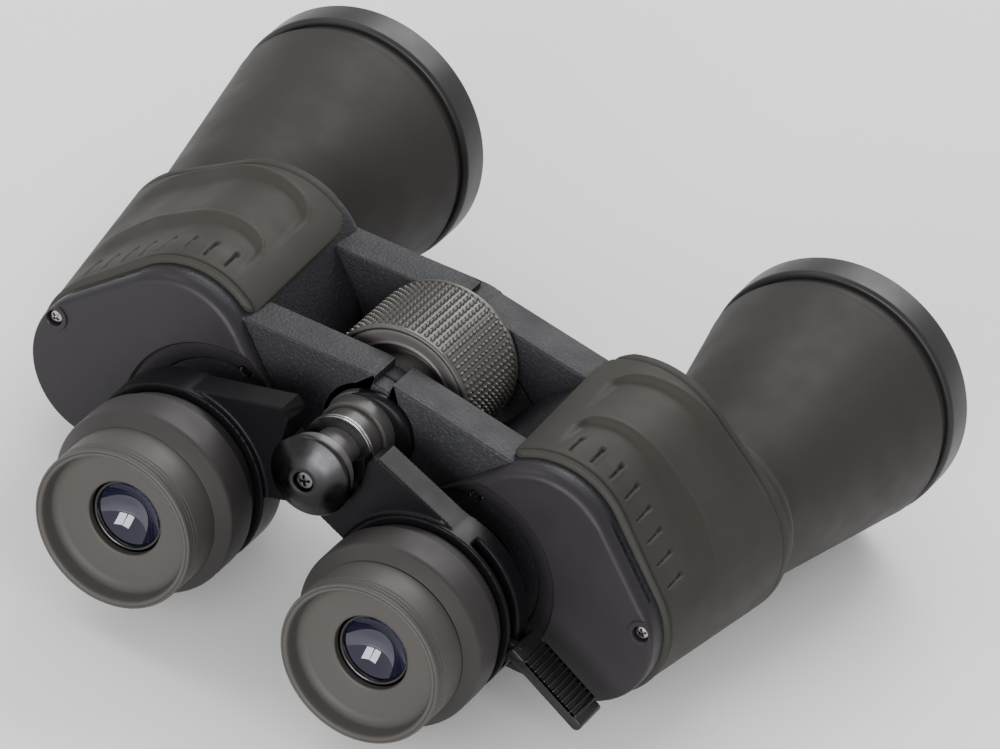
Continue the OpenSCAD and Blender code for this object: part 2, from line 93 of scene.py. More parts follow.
def welded(points, faces, name, reach=1e-6):
    """A mesh with its double points joined and its faces turned outwards."""
    mesh = bpy.data.meshes.new(name)
    mesh.from_pydata(points.tolist(), [], faces)
    work = bmesh.new()
    work.from_mesh(mesh)
    bmesh.ops.remove_doubles(work, verts=work.verts, dist=reach)
    bmesh.ops.recalc_face_normals(work, faces=work.faces)
    work.to_mesh(mesh)
    work.free()
    return mesh


def show(name, mesh, body, look, nodes, sharp):
    """Makes a mesh a piece that rides on a body and stands for CAD nodes."""
    mesh.shade_smooth()
    mesh.set_sharp_from_angle(angle=math.radians(sharp))
    mesh.materials.clear()
    mesh.materials.append(look)
    piece = bpy.data.objects.new(name, mesh)
    bpy.context.scene.collection.objects.link(piece)
    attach(piece, body)
    if nodes:
        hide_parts(*nodes)
    return piece


def add_piece(name, shells, side, body, look, nodes=(), sharp=SHARP_ANGLE):
    """One piece from closed shells of (points, faces). Edges over the sharp angle stay sharp."""
    verts, faces = [], []
    start = 0
    for points, shell_faces in shells:
        verts.append(place(points, side))
        faces += [[int(i) + start for i in face] for face in shell_faces]
        start += len(points)
    return show(name, welded(np.vstack(verts), faces, name), body, look, nodes, sharp)


def grid_faces(rows, columns, wrap_rows=False, wrap_columns=False):
    """Four-sided faces over a grid of points, which may close on itself either way."""
    r = np.arange(rows if wrap_rows else rows - 1)
    c = np.arange(columns if wrap_columns else columns - 1)
    r, c = [a.ravel() for a in np.meshgrid(r, c, indexing="ij")]
    r1, c1 = (r + 1) % rows, (c + 1) % columns
    return np.column_stack([r * columns + c, r * columns + c1, r1 * columns + c1, r1 * columns + c]).tolist()


def softened(corners, radius=0.3, steps=5):
    """Rounds the corners of a closed outline. A corner's third value is its own radius."""
    out = []
    count = len(corners)
    for i, corner in enumerate(corners):
        here = np.array(corner[:2], float)
        before = np.array(corners[i - 1][:2], float) - here
        after = np.array(corners[(i + 1) % count][:2], float) - here
        reach = corner[2] if len(corner) > 2 else radius
        reach = min(reach, 0.45 * np.linalg.norm(before), 0.45 * np.linalg.norm(after))
        if reach < 1e-3:
            out.append(here)
            continue
        a = here + before / np.linalg.norm(before) * reach
        b = here + after / np.linalg.norm(after) * reach
        for t in np.linspace(0, 1, steps + 1):
            out.append((1 - t) ** 2 * a + 2 * t * (1 - t) * here + t * t * b)
    return np.array(out)


def lathe(profile, at=HINGE, steps=128):
    """A closed profile of [radius, station] turned about an axis along Y."""
    outline = softened(profile)
    turn = np.arange(steps) * 2 * math.pi / steps
    r, s = outline[:, 0][:, None], outline[:, 1][:, None]
    points = np.stack([at[0] + r * np.cos(turn), s + 0 * turn, at[1] + r * np.sin(turn)], axis=-1)
    return points.reshape(-1, 3), grid_faces(len(outline), steps, True, True)


def outline_normals(outline):
    """Outward unit normals of an anticlockwise outline."""
    ahead = np.roll(outline, -1, axis=0) - np.roll(outline, 1, axis=0)
    normal = np.column_stack([ahead[:, 1], -ahead[:, 0]])
    return normal / np.maximum(np.linalg.norm(normal, axis=1), 1e-9)[:, None]


def ring_stack(rings):
    """A shell with flat ends from rings of equal length, each an array of [x, station, z]."""
    count = len(rings[0])
    faces = grid_faces(len(rings), count, False, True)
    faces.append(list(range(count))[::-1])
    faces.append(list(range((len(rings) - 1) * count, len(rings) * count)))
    return np.vstack(rings), faces


def ring_loop(rings):
    """A shell like a tyre, from rings of equal length that lead back to the first."""
    return np.vstack(rings), grid_faces(len(rings), len(rings[0]), True, True)


def at_station(outline, station):
    return np.column_stack([outline[:, 0], np.full(len(outline), station), outline[:, 1]])


def slab(outline, start, end, edge=0.6, steps=5):
    """An anticlockwise outline drawn out along Y, with both rims rounded."""
    normals = outline_normals(outline)
    turns = np.linspace(0, math.pi / 2, steps)
    rims = [(edge * (1 - math.sin(t)), edge * (1 - math.cos(t))) for t in turns]
    rings = [at_station(outline - normals * inset, start + depth) for inset, depth in rims]
    rings += [at_station(outline - normals * inset, end - depth) for inset, depth in reversed(rims)]
    return ring_stack(rings)


def spline(points, steps=12):
    """A smooth line through points, as two arrays."""
    p = np.array(points, float)
    p = np.vstack([2 * p[0] - p[1], p, 2 * p[-1] - p[-2]])
    t = np.linspace(0, 1, steps, endpoint=False)[:, None]
    out = [0.5 * (2 * b + (c - a) * t + (2 * a - 5 * b + 4 * c - d) * t ** 2
                  + (3 * b - a - 3 * c + d) * t ** 3)
           for a, b, c, d in zip(p, p[1:], p[2:], p[3:])]
    out = np.vstack(out + [p[-2:-1]])
    return out[:, 0], out[:, 1]


def smooth(x, low, high):
    """0 below low, 1 above high, and a soft step between."""
    t = np.clip((x - low) / (high - low), 0, 1)
    return t * t * (3 - 2 * t)


def direction(degrees):
    return np.array([math.cos(math.radians(degrees)), math.sin(math.radians(degrees))])


def rays(count):
    """Unit vectors all round, as rows."""
    turn = np.arange(count) * 2 * math.pi / count
    return np.column_stack([np.cos(turn), np.sin(turn)])


def to_circle(ray, offset, radius):
    """Lengths of rays to a circle whose centre lies at minus this offset from where they start."""
    along = ray @ offset
    return -along + np.sqrt(along ** 2 - offset @ offset + radius ** 2)


def arc(at, radius, start, end, steps):
    return [np.array(at) + radius * direction(a) for a in np.linspace(start, end, steps)]


# ---- lobed outlines ----

def grown(lobes, by):
    """Lobes with each radius made larger by its own amount."""
    return [(centre, radius + more) for (centre, radius), more in zip(lobes, by)]


def support(lobes, degrees, side):
    """The point of a lobed outline whose outward direction is this angle, just before or after it."""
    probe = direction(degrees + side * 1e-4)
    centre, radius = max(lobes, key=lambda lobe: lobe[0] @ probe + lobe[1])
    return centre + radius * direction(degrees)


def lobe_pair(first, last, step=2.0, straight=14):
    """Points of two lobed outlines that face the same way, with those directions, anticlockwise."""
    angles = set(np.round(np.arange(0, 360, step), 6))
    for lobes in (first, last):
        for i in range(len(lobes)):
            a, b = lobes[i], lobes[(i + 1) % len(lobes)]
            d = b[0] - a[0]
            turn = math.degrees(math.atan2(d[1], d[0]) - math.acos((a[1] - b[1]) / np.linalg.norm(d)))
            angles.add(round(turn % 360, 6))
    outlines, facing = ([], []), []
    for angle in sorted(angles):
        ends = [(support(lobes, angle, -1), support(lobes, angle, 1)) for lobes in (first, last)]
        corner = any(np.linalg.norm(b - a) > 1e-3 for a, b in ends)
        for t in np.linspace(0, 1, straight) if corner else [0.0]:
            for outline, (a, b) in zip(outlines, ends):
                outline.append(a + (b - a) * t)
            facing.append(direction(angle))
    return np.array(outlines[0]), np.array(outlines[1]), np.array(facing)


# ---- materials ----

class Graph:
    """Short calls for building a node material."""

    def __init__(self, name):
        self.material = bpy.data.materials.new(name)
        self.material.use_nodes = True
        self.tree = self.material.node_tree
        self.surface = self.tree.nodes["Principled BSDF"]
        self.coords = self.tree.nodes.new("ShaderNodeTexCoord").outputs["Object"]

    def node(self, kind, settings=(), **inputs):
        """A new node. An underscore in an input's name stands for a space."""
        node = self.tree.nodes.new(kind)
        for key, value in dict(settings).items():
            setattr(node, key, value)
        for key, value in inputs.items():
            self.feed(node.inputs[key.replace("_", " ")], value)
        return node

    def feed(self, socket, value):
        if isinstance(value, bpy.types.NodeSocket):
            self.tree.links.new(value, socket)
        else:
            socket.default_value = value

    def noise(self, size, detail=2.0, rough=0.5):
        """Noise with features of about size millimetres."""
        node = self.node("ShaderNodeTexNoise", Scale=1 / (size * MM), Detail=detail, Roughness=rough)
        self.feed(node.inputs["Vector"], self.coords)
        return node.outputs["Factor"] if "Factor" in node.outputs else node.outputs["Fac"]

    def cells(self, size):
        """Round cells about size millimetres apart."""
        node = self.node("ShaderNodeTexVoronoi", Scale=1 / (size * MM))
        self.feed(node.inputs["Vector"], self.coords)
        return node.outputs["Distance"]

    def ramp(self, value, low, high, to_low=0.0, to_high=1.0):
        """Maps low to high onto to_low to to_high, and holds it there outside."""
        node = self.node("ShaderNodeMapRange")
        for key, number in (("Value", value), ("From Min", low), ("From Max", high),
                            ("To Min", to_low), ("To Max", to_high)):
            self.feed(node.inputs[key], number)
        return node.outputs["Result"]

    def blend(self, factor, a, b):
        """A colour from a to b."""
        node = self.node("ShaderNodeMix", {"data_type": "RGBA"})
        self.feed(node.inputs[0], factor)
        self.feed(node.inputs[6], a)
        self.feed(node.inputs[7], b)
        return node.outputs[2]

    def bump(self, height, depth, strength=1.0, under=None):
        """Depth is in millimetres."""
        node = self.node("ShaderNodeBump", Height=height, Distance=depth * MM, Strength=strength)
        if under is not None:
            self.feed(node.inputs["Normal"], under)
        return node.outputs["Normal"]

    def finish(self, **inputs):
        """Sets the surface's inputs and returns the material."""
        for key, value in inputs.items():
            self.feed(self.surface.inputs[key.replace("_", " ")], value)
        return self.material


def shade(colour, factor):
    """The colour times a factor, with alpha."""
    return (colour[0] * factor, colour[1] * factor, colour[2] * factor, 1)


def coating(name, colour, rough, metal=0.0, grain=0.35, depth=0.02, mottle=0.12, speckle=0.0,
            cells=0.0, gloss=0.35, coat=0.0):
    """A painted, moulded or rubber surface: fine grain, soft mottling and pale flecks."""
    g = Graph(name)
    tint = g.blend(g.ramp(g.noise(26, 3), 0.3, 0.7), shade(colour, 1 - mottle), shade(colour, 1 + mottle))
    fine = g.noise(grain, 3, 0.6)
    tint = g.blend(g.ramp(fine, 0.35, 0.75, 0, 0.3), tint, shade(colour, 1.6))
    if speckle:
        tint = g.blend(g.ramp(g.noise(grain * 1.6, 2), 0.58, 0.72, 0, speckle), tint, shade(colour, 4.0))
    normal = g.bump(fine, depth)
    if cells:
        normal = g.bump(g.cells(cells), depth * 1.5, 0.7, normal)
    spread = g.ramp(g.noise(9, 2), 0.3, 0.7, rough - 0.05, rough + 0.05)
    g.surface.inputs["Specular IOR Level"].default_value = gloss
    return g.finish(Base_Color=tint, Roughness=spread, Metallic=metal, Normal=normal,
                    Coat_Weight=coat, Coat_Roughness=0.2)


def turned_metal(name, colour, rough, streak=0.08):
    """Metal with fine rings from the lathe."""
    g = Graph(name)
    rings = g.node("ShaderNodeTexWave", {"bands_direction": "Y"}, Scale=1 / (1.2 * MM), Distortion=0.6,
                   Detail=2.0)
    g.feed(rings.inputs["Vector"], g.coords)
    band = rings.outputs["Factor"] if "Factor" in rings.outputs else rings.outputs["Fac"]
    tint = g.blend(band, shade(colour, 1 - streak), shade(colour, 1 + streak))
    spread = g.ramp(g.noise(3, 3), 0.3, 0.7, rough * 0.8, rough * 1.25)
    return g.finish(Base_Color=tint, Roughness=spread, Metallic=1.0, Normal=g.bump(band, 0.003, streak * 4))


def coated_glass(name, tint, metal, clear):
    """Glass with a coloured anti-reflection coating."""
    g = Graph(name)
    smear = g.noise(14, 3)
    colour = g.blend(g.ramp(smear, 0.3, 0.7), shade(tint, 0.8), shade(tint, 1.2))
    return g.finish(Base_Color=colour, Metallic=g.ramp(smear, 0.2, 0.8, metal * 0.9, metal),
                    Roughness=g.ramp(smear, 0.4, 0.8, 0.015, 0.04), Transmission_Weight=clear,
                    Coat_Weight=1.0, Coat_Roughness=0.02)


LOOKS = {
    "casting": coating("crinkle_paint", (0.015, 0.015, 0.018), 0.52, grain=0.5, depth=0.08, speckle=0.35,
                       cells=0.8, gloss=0.22),
    "arm_paint": coating("arm_paint", (0.005, 0.005, 0.006), 0.32, grain=0.4, speckle=0.06, gloss=0.10),
    "cover": coating("cover_paint", (0.017, 0.015, 0.017), 0.46, grain=0.3, depth=0.012, mottle=0.06,
                     gloss=0.22),
    "armour_rubber": coating("armour_rubber", (0.029, 0.027, 0.023), 0.62, grain=0.3, depth=0.024,
                             mottle=0.10, gloss=0.2),
    "barrel_paint": coating("barrel_coat", (0.026, 0.0235, 0.022), 0.60, grain=0.28, depth=0.022,
                            mottle=0.08, gloss=0.2),
    "rim_rubber": coating("rim_rubber", (0.014, 0.0135, 0.0135), 0.42, grain=0.3, depth=0.016, gloss=0.32),
    "eyecup_rubber": coating("eyecup_rubber", (0.048, 0.0445, 0.041), 0.50, grain=0.28, depth=0.014,
                             mottle=0.08, gloss=0.25),
    "ring_rubber": coating("ring_rubber", (0.027, 0.0245, 0.024), 0.52, grain=0.28, depth=0.018,
                           mottle=0.08, gloss=0.2),
    "wheel_rubber": coating("wheel_rubber", (0.055, 0.051, 0.045), 0.36, grain=0.25, depth=0.006, gloss=0.4),
    "hinge_paint": coating("hinge_paint", (0.050, 0.046, 0.045), 0.38, metal=0.1, grain=0.22, depth=0.003,
                           mottle=0.06, gloss=0.4),
    "sleeve_paint": coating("sleeve_paint", (0.075, 0.066, 0.066), 0.36, grain=0.22, depth=0.004),
    "black_plastic": coating("lever_plastic", (0.007, 0.007, 0.008), 0.40, grain=0.25, depth=0.006),
    "black_anodised": coating("black_anodised", (0.005, 0.005, 0.006), 0.20, metal=0.3, grain=0.2,
                              depth=0.002, coat=0.6),
    "bright_screw": turned_metal("nickel_screw", (0.34, 0.33, 0.32), 0.24),
    "dark_screw": turned_metal("dark_screw", (0.13, 0.13, 0.13), 0.22),
    "steel": turned_metal("turned_steel", (0.28, 0.28, 0.28), 0.30),
    "cap_metal": turned_metal("cap_metal", (0.036, 0.035, 0.037), 0.30, 0.02),
    "brass": turned_metal("turned_brass", (0.60, 0.42, 0.17), 0.28),
    "coated_glass": coated_glass("coated_glass", (0.008, 0.007, 0.024), 0.35, 0.05),
    "prism_glass": coated_glass("prism_glass", (0.55, 0.62, 0.60), 0.0, 0.85),
}


# ---- objective barrels ----

def add_objective(name, side):
    """A barrel that widens to the front, and the rubber rim on its end."""
    body = f"{name}_half"
    rear = HOUSING_FRONT
    rim_rear, front = span_of(f"{name}_objective_rim")
    tube = [[15.5, rear - 6], [17.5, rear - 6], [17.5, rear, 0], [22.4, rear - 1.5, 0.6],
            [22.6, rear + 2.6, 1.2], [21.3, rear + 4.4, 1.5], [32.0, rim_rear - 5.2, 0.8],
            [32.3, rim_rear - 4.0, 0.3], [31.2, rim_rear - 3.4], [31.2, rim_rear + 1.6],
            [29.2, rim_rear + 1.6], [29.2, rim_rear - 6], [19.4, rear + 5], [15.5, rear]]
    add_piece(f"{name}_barrel", [lathe(tube, OBJECTIVE, 192)], side, body, LOOKS["barrel_paint"],
              [f"{name}_objective_tube"])
    rim = [[31.2, rim_rear], [32.3, rim_rear, 0.4], [33.0, rim_rear + 0.8, 0.5], [33.0, front - 0.9, 0.8],
           [32.0, front, 0.8], [30.8, front, 0.5], [30.2, front - 1.2], [30.2, front - 3.0],
           [29.4, front - 3.4], [29.2, front - 5.5], [28.2, front - 5.5], [28.2, rim_rear + 1.6],
           [31.2, rim_rear + 1.6]]
    add_piece(f"{name}_rim", [lathe(rim, OBJECTIVE, 192)], side, body, LOOKS["rim_rubber"],
              [f"{name}_objective_rim"])


# ---- prism housings ----

ARM_TOP, ARM_LOW, ARM_REACH, BRIDGE_R, KNUCKLE_R = 10.6, -14.0, 37.0, 13.8, 12.4
REAR_ARM, FRONT_ARM, FRONT_KNUCKLE_END = (HOUSING_REAR, 63.1), (94.3, 105.5), 108.0
# how far each side's arms stop short of the vertical above and below the hinge, in degrees
TOP_GAP, LOW_GAP = {-1: 5.2, 1: 14.6}, 15.0
# the space between parts that turn past each other
CLEAR = 0.3
POCKET_R, POCKET_FLOOR = 15.0, 79.0
FRONT_ROUND = 3.0


def arm_outline(side, root):
    """One bridge arm in the X-Z plane, from its lower corners in the housing to its end at the hinge."""
    inner = KNUCKLE_R + CLEAR
    top, low = 90 - TOP_GAP[side], LOW_GAP - 90
    corners = root + [[ARM_REACH, ARM_TOP], [3.4, BRIDGE_R - 0.2, 0.2]]
    corners += [list(p) + [0.0] for p in arc(HINGE, BRIDGE_R, 80, top, 4) if top > 80]
    corners += [list(BRIDGE_R * direction(top)) + [0.4]]
    corners += [list(p) + [0.0] for p in arc(HINGE, inner - 3.0, top, low, 24)]
    corners += [list(BRIDGE_R * direction(low)) + [0.4]]
    return softened(corners, 0.6)


def knuckle_spans(span, end):
    """Stations of the rear and front knuckle of one pair of arms."""
    middle = (span[0] + span[1]) / 2
    return (span[0], middle - CLEAR / 2), (middle + CLEAR / 2, end)


def drum(start, end, radius, hole):
    """A knuckle round the hinge axis."""
    return lathe([[hole, start], [radius, start, 0.7], [radius, end, 0.7], [hole, end]], HINGE, 96)


def housing_shell():
    """The outside of a housing, with a round pocket behind the eyepiece that the zoom cell moves into."""
    first, last, facing = lobe_pair([EYE_LOBE, SIDE_REAR, TOP_REAR], [SIDE_FRONT, TOP_FRONT])
    away = first - EYE
    mouth = EYE + away / np.linalg.norm(away, axis=1)[:, None] * POCKET_R
    rings = [at_station(mouth, s) for s in (POCKET_FLOOR, HOUSING_REAR - 0.8)]
    rings += [at_station(first, s) for s in np.linspace(HOUSING_REAR - 0.8, TAPER, 8)]
    for s in np.linspace(TAPER, HOUSING_FRONT, 24)[1:]:
        t = (s - TAPER) / (HOUSING_FRONT - TAPER)
        left = max(0.0, FRONT_ROUND - (HOUSING_FRONT - s))
        inset = FRONT_ROUND - math.sqrt(FRONT_ROUND ** 2 - left ** 2)
        rings.append(at_station(first * (1 - t) + last * t - facing * inset * 0.8, s))
    return ring_stack(rings)


def add_housing(name, side):
    """A housing with its two bridge arms and the knuckles they end in."""
    front_arm = arm_outline(side, [[ARM_REACH, ARM_LOW]])
    # the rear arm stays clear of the pocket
    rear_arm = arm_outline(side, [[20, ARM_LOW], [26, ARM_LOW + 6], [ARM_REACH, ARM_LOW + 8]])
    own = 0 if side > 0 else 1
    rear_knuckle = knuckle_spans(REAR_ARM, REAR_ARM[1])[own]
    front_knuckle = knuckle_spans(FRONT_ARM, FRONT_KNUCKLE_END)[1 - own]
    shells = [housing_shell(), slab(rear_arm, *REAR_ARM, 0.5), slab(front_arm, *FRONT_ARM, 0.5),
              drum(*rear_knuckle, KNUCKLE_R - 0.8, 9.6), drum(*front_knuckle, KNUCKLE_R, 7.1)]
    add_piece(f"{name}_housing", shells, side, f"{name}_half", LOOKS["casting"],
              [f"{name}_prism_housing"])


# ---- cover plates ----

RECESS_R, BORE_R, SCREW_HOLE_R, SCREW_HEAD_R, BOSS_R = 25.0, 13.4, 2.0, 1.75, 3.3
RECESS_LIP, RECESS_STEP = 0.9, 0.8
# width of the rounded band at the cover's edge, and how much of it goes where the band is narrow
BAND, NARROWING = 2.5, 1.7
# stations between which the screw holes are cut, well past both faces of the cover
BORE_CUT = (40, 60)


def cover_height(point, inset, band, edge_depth):
    """Station of the cover's rear face: a rounded edge, the raised face, and a stepped round recess."""
    u = np.clip(1 - inset / band, 0, 1)
    edge = COVER_FACE + edge_depth * (1 - np.sqrt(1 - u ** 2.2))
    rho = np.linalg.norm(point - EYE, axis=1)
    lip = RECESS_LIP * smooth(RECESS_R - rho, 0.0, 0.7)
    bowl = (RECESS_FLOOR - COVER_FACE - RECESS_LIP - RECESS_STEP) * smooth(RECESS_R - rho, 0.5, 6.5)
    step = RECESS_STEP * smooth(RECESS_R - rho, 4.9, 5.4)
    return np.maximum(edge, COVER_FACE + lip + bowl + step)


def cover_surface():
    """A cover plate: rings from its outer edge over the face and the recess to the bore."""
    lobes = [EYE_LOBE, SIDE_REAR, TOP_REAR]
    edge, _, facing = lobe_pair(lobes, lobes, 1.5, 40)
    # the rounded band is broad along the top, and narrow from the outer screw round the underside
    toward = np.degrees(np.arctan2(facing[:, 1], facing[:, 0]))
    narrow = smooth(100 - toward, 40, 85) + smooth(toward - 130, 0, 30)
    band = BAND - NARROWING * np.clip(narrow, 0, 1)
    edge_depth = (HOUSING_REAR - COVER_FACE) * (1 - 0.65 * np.clip(narrow, 0, 1))

    def ring(point, inset):
        return np.column_stack([point[:, 0], cover_height(point, inset, band, edge_depth), point[:, 1]])

    insets = [0, 0.03, 0.08, 0.15, 0.24, 0.34, 0.46, 0.6, 0.75, 0.88, 0.96, 1.0, 1.08, 1.25]
    rings = [at_station(edge, HOUSING_REAR + 0.5)]
    rings += [ring(edge - facing * (band * share)[:, None], band * share) for share in insets]
    start = edge - facing * (band * insets[-1])[:, None]
    away = start - EYE
    rho = np.linalg.norm(away, axis=1)
    spoke = away / rho[:, None]
    brink = np.minimum(RECESS_R + 0.3, BORE_R + (rho - BORE_R) * 0.85)
    radii = [rho + (brink - rho) * t for t in np.linspace(0, 1, 14)[1:]]
    # the rings lie closest at the recess's lip and step
    radii += [BORE_R + (brink - BORE_R) * t for t in
              (0.99, 0.975, 0.96, 0.945, 0.93, 0.91, 0.88, 0.84, 0.79, 0.74, 0.68, 0.62, 0.57, 0.55, 0.535,
               0.52, 0.505, 0.49, 0.47, 0.4, 0.25, 0.1, 0)]
    far_inside = np.full(len(edge), 99.0)
    rings += [ring(EYE + spoke * r[:, None], far_inside) for r in radii]
    rings.append(at_station(EYE + spoke * BORE_R, HOUSING_REAR + 0.5))
    return ring_loop(rings)


def screw_boss(centre, seat, toe, count=72):
    """A raised rim round a screw hole, drawn out to a point on one side and kept inside the cover's end."""
    ray = rays(count)
    reach = np.linalg.norm(toe)
    spread = math.acos(BOSS_R / reach)
    angle = np.arccos(np.clip(ray @ (toe / reach), -1, 1))
    outer = np.where(angle < spread, BOSS_R / np.cos(spread - angle), BOSS_R)
    outer = np.minimum(outer, reach - 0.3)
    outer = np.minimum(outer, to_circle(ray, centre - SIDE_REAR[0], SIDE_REAR[1] - 0.45))
    # shares of the way from the hole to the outside, and heights
    profile = [(1.0, 1.0), (1.0, -0.25), (0.97, -0.42), (0.9, -0.5), (0.55, -0.5), (0.2, -0.5), (0.08, -0.46),
               (0.0, -0.3), (0.0, 1.0)]
    return ring_loop([at_station(centre + ray * (SCREW_HOLE_R + (outer - SCREW_HOLE_R) * share)[:, None],
                                 seat + height) for share, height in profile])


def cross_head(centre, top, radius, turn=0.0, steps=96, rows=26):
    """A low domed screw head with a tapered cross recess, on a short shank."""
    r = np.linspace(0, radius, rows)[:, None]
    a = (np.arange(steps) * 2 * math.pi / steps)[None, :]
    x, z = r * np.cos(a - turn), r * np.sin(a - turn)
    reach, half_width = radius * 0.62, radius * 0.13
    along, across = np.maximum(abs(x), abs(z)), np.minimum(abs(x), abs(z))
    cut = 1 - smooth(across, half_width * 0.6, half_width * 1.3)
    cut = cut * (1 - smooth(along, reach * 0.85, reach * 1.05))
    station = top + 0.28 * (r / radius) ** 2 + 0.25 * smooth(r, radius * 0.9, radius) + 0.85 * cut
    x, z = r * np.cos(a), r * np.sin(a)
    points = np.stack([centre[0] + x, station, centre[1] + z], axis=-1).reshape(-1, 3)
    foot = at_station(np.array(arc(centre, radius * 0.98, 0, 360 - 360 / steps, steps)), top + 1.6)
    faces = grid_faces(rows, steps, False, True)
    base = len(points)
    ring = np.arange(steps)
    last = (rows - 1) * steps
    following = (ring + 1) % steps
    faces += np.column_stack([last + ring, last + following, base + following, base + ring]).tolist()
    faces.append([base + int(i) for i in ring])
    return np.vstack([points, foot]), faces


def bored(piece, side, holes):
    """Cuts round holes of (centre, radius) through a piece, along Y."""
    rear, front = BORE_CUT
    for centre, radius in holes:
        profile = [[0.01, rear], [radius, rear, 0], [radius, front, 0], [0.01, front]]
        points, faces = lathe(profile, centre, 64)
        cutter = bpy.data.objects.new("cutter", welded(place(points, side), faces, "cutter", 2e-5))
        bpy.context.scene.collection.objects.link(cutter)
        cut = piece.modifiers.new("bore", "BOOLEAN")
        cut.operation = "DIFFERENCE"
        cut.solver = "EXACT"
        cut.object = cutter
        done = bpy.data.meshes.new_from_object(piece.evaluated_get(bpy.context.evaluated_depsgraph_get()))
        piece.modifiers.clear()
        done.name = piece.name
        piece.data = done
        bpy.data.objects.remove(cutter)
    piece.data.shade_smooth()
    piece.data.set_sharp_from_angle(angle=math.radians(SHARP_ANGLE))


def add_cover(name, side):
    """A cover plate with its screw boss and two screws."""
    body = f"{name}_half"
    plate = add_piece(f"{name}_cover", [cover_surface()], side, body, LOOKS["cover"],
                      [f"{name}_cover_plate"])
    bored(plate, side, [(OUTER_SCREW, SCREW_HOLE_R), (INNER_SCREW, SCREW_HOLE_R)])
    boss = screw_boss(OUTER_SCREW, COVER_FACE, np.array([2.9, -3.6]))
    add_piece(f"{name}_screw_boss", [boss], side, body, LOOKS["cover"])
    heads = [cross_head(OUTER_SCREW, COVER_FACE + 0.3, SCREW_HEAD_R, 0.5),
             cross_head(INNER_SCREW, COVER_FACE + 2.2, SCREW_HEAD_R, 1.3)]
    add_piece(f"{name}_cover_screw_heads", heads, side, body, LOOKS["bright_screw"],
              [f"{name}_cover_screws"])


# ---- rubber armour ----

ARMOUR_REAR, ARMOUR_FRONT, ARMOUR_INNER, ARMOUR_T = 54.6, 105.0, 34.6, 1.3
REAR_CORNER, FRONT_CORNER = 3.0, 9.0
# stations where the outline follows the rear lobes and the front lobes
OUTLINE_REAR, OUTLINE_FRONT = 55, 105
# a usual length round the outline, and the x on its upper part where q is 0
ARMOUR_ROUND, Q_START = 141.0, 35.0
# how far the rubber stands out from the side and top lobes
REAR_GROWTH, FRONT_GROWTH = (0.9, 1.4), (1.6, 2.0)
# the two raised lips: crests as (length round the outline, station), and the lengths of the slopes behind
LIPS = ([(9.3, 70.2), (11.5, 73.2), (17, 75.3), (27, 76.3), (39, 77.6), (48, 78.2), (56, 76.5), (63, 73)],
        [(7.8, 89.6), (10.5, 92.8), (16, 95.2), (26, 97.4), (38, 99.4), (48, 100.2), (56, 98.8), (64, 94)])
SLOPES = (12.5, 17.0)
SLITS, SLIT_REAR, SLIT_FRONT = [13.0 + 5.85 * i for i in range(8)], 58.7, 65.9


def armour_relief(q, s, rear_gap, front_gap, side_gap):
    """Height over the plain rubber. q runs round the outline from the inner upper edge."""
    h = np.zeros_like(q)
    for lip, slope in zip(LIPS, SLOPES):
        lip_q, lip_s = spline(lip)
        crest = np.interp(q, lip_q, lip_s)
        behind = crest - s
        inside = smooth(q, lip[0][0] - 0.6, lip[0][0] + 1.6) * (1 - smooth(q, 50, 64))
        rise = 1.6 + 4.2 * smooth(q, 14, 46)
        down = smooth(behind, 0, rise) * (1 - smooth(behind, rise, rise + slope))
        h -= 1.25 * inside * down * (behind > 0)
        bead = 0.32 * np.exp(-((behind + 0.3) / 0.75) ** 2)
        h += bead * smooth(q, lip[0][0] - 1.2, lip[0][0] + 0.8) * (1 - smooth(q, 46, 62))
    # each slit is wider and deeper at its front end, with a low ridge beside it
    t = np.clip((s - SLIT_REAR) / (SLIT_FRONT - SLIT_REAR), 0, 1)
    half_width = 0.24 + 0.26 * smooth(t, 0.55, 0.9)
    within = smooth(s, SLIT_REAR - 0.3, SLIT_REAR + 0.5) * (1 - smooth(s, SLIT_FRONT - 0.5, SLIT_FRONT + 0.3))
    for centre in SLITS:
        h -= (0.55 + 0.5 * t) * np.exp(-((q - centre) / half_width) ** 2) * within
        h += 0.12 * np.exp(-((q - centre - 0.9) / 0.5) ** 2) * within
    # a bead and a groove along the rear edge, a groove along the front edge, and a rolled edge all round
    h += 0.28 * np.exp(-((rear_gap - 0.75) / 0.42) ** 2) - 0.38 * np.exp(-((rear_gap - 1.75) / 0.34) ** 2)
    h -= 0.34 * np.exp(-((front_gap - 2.9) / 0.4) ** 2)
    near = np.minimum(np.minimum(rear_gap, front_gap), side_gap)
    roll = np.clip(1 - near / 0.8, 0, 1)
    return h - 0.9 * (1 - np.sqrt(1 - roll ** 2))


def armour_tracks():
    """Stations along the armour, and for each its outline from the upper to the lower inner edge.

    An outline comes with its arc lengths, the index of its outermost point, and the length where q is 0.
    """
    rear_lobes = grown([SIDE_REAR, TOP_REAR], REAR_GROWTH)
    front_lobes = grown([SIDE_FRONT, TOP_FRONT], FRONT_GROWTH)
    first, last, _ = lobe_pair(rear_lobes, front_lobes, 1.0, 40)
    stations = np.linspace(ARMOUR_REAR, ARMOUR_FRONT + 0.2, 100)
    tracks = []
    for s in stations:
        t = (s - OUTLINE_REAR) / (OUTLINE_FRONT - OUTLINE_REAR)
        ring = first * (1 - t) + last * t
        ring = np.roll(ring[::-1], -int(np.argmin(ring[::-1][:, 0])), axis=0)
        if ring[3, 1] < ring[0, 1]:
            ring = ring[::-1]
        length = np.concatenate([[0], np.cumsum(np.linalg.norm(np.diff(ring, axis=0), axis=1))])
        peak = int(np.argmax(ring[:, 0]))
        tracks.append((ring, length, peak, length_at(ring, length, peak, Q_START, True)))
    return stations, tracks


